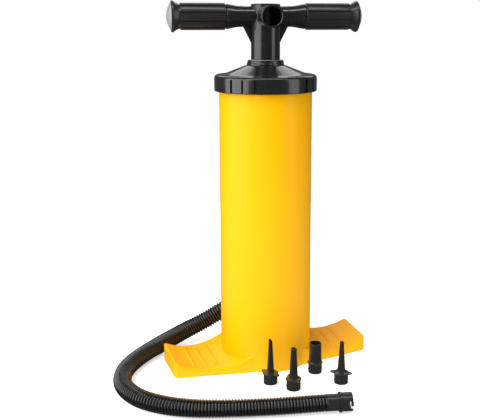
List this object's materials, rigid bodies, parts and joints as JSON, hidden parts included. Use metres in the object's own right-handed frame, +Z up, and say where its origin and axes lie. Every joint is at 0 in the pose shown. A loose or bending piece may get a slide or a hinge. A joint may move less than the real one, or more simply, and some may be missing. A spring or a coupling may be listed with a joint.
{
  "type": "double action hand pump",
  "caption": "Upright double action air pump with a barrel on two foot wings, a T handle on a hollow rod, a corrugated hose and loose nozzles.",
  "frame": {"origin": "on the floor, on the barrel's axis, at the middle of the bottom cover's underside", "axes": "+Z up along the barrel and the rod, +X along the foot wings to the user's right, +Y to the rear, where the hose leaves; the user stands on the -Y side"},
  "size_m": [0.3172, 0.2612, 0.4257],
  "materials": {
    "barrel_yellow": "gloss",
    "inner_white": "satin",
    "inner_black": "satin",
    "seal_rubber": "matt",
    "screw_steel": "satin",
    "cap_black": "gloss",
    "rod_white": "satin",
    "handle_black": "gloss",
    "grip_grey": "satin",
    "grip_cap": "satin",
    "cuff_black": "satin",
    "hose_black": "satin",
    "nozzle_black": "satin"
  },
  "bodies": {
    "pump_body": {"barrel": "barrel_yellow", "cylinder_liner": "inner_white", "bottom_cover": "inner_black", "cover_seal": "seal_rubber", "cover_screws": "screw_steel", "head_plate": "inner_black", "head_seal": "seal_rubber", "rod_seal": "seal_rubber", "rod_bush": "cap_black", "cap": "cap_black", "outlet_socket": "cap_black", "hose_plug": "cuff_black", "hose": "hose_black", "hose_cuff": "cuff_black", "nozzle_needle": "nozzle_black", "nozzle_pinch": "nozzle_black", "nozzle_wide": "nozzle_black", "nozzle_slim": "nozzle_black"},
    "seal_ring": {"piston_ring": "seal_rubber"},
    "plunger": {"piston_rod": "rod_white", "rod_nut": "inner_white", "piston_upper": "inner_white", "piston_lower": "inner_white", "piston_screws": "screw_steel", "handle": "handle_black", "handle_screw": "screw_steel", "grip_left": "grip_grey", "grip_right": "grip_grey", "grip_cap_left": "grip_cap", "grip_cap_right": "grip_cap"},
    "upper_valve": {"upper_flap": "seal_rubber"},
    "lower_valve": {"lower_flap": "seal_rubber"},
    "head_valve": {"head_flap": "seal_rubber"},
    "bottom_valve": {"bottom_flap": "seal_rubber"}
  },
  "joints": [
    {"name": "plunger_stroke", "type": "slide", "parent": "pump_body", "child": "seal_ring", "axis": [0, 0, 1], "range_m": [0, 0.275]},
    {"name": "handle_turn", "type": "hinge", "parent": "seal_ring", "child": "plunger", "pos_m": [0, 0, 0], "axis": [0, 0, 1], "continuous": true},
    {"name": "upper_intake_valve", "type": "slide", "parent": "plunger", "child": "upper_valve", "axis": [0, 0, 1], "range_m": [0, 0.002], "stiffness_N_per_m": 200, "springref_m": -0.002},
    {"name": "lower_intake_valve", "type": "slide", "parent": "plunger", "child": "lower_valve", "axis": [0, 0, -1], "range_m": [0, 0.002], "stiffness_N_per_m": 200, "springref_m": -0.002},
    {"name": "head_outlet_valve", "type": "slide", "parent": "pump_body", "child": "head_valve", "axis": [0, 0, 1], "range_m": [0, 0.002], "stiffness_N_per_m": 200, "springref_m": -0.002},
    {"name": "bottom_outlet_valve", "type": "slide", "parent": "pump_body", "child": "bottom_valve", "axis": [0, 0, -1], "range_m": [0, 0.002], "stiffness_N_per_m": 200, "springref_m": -0.002}
  ]
}
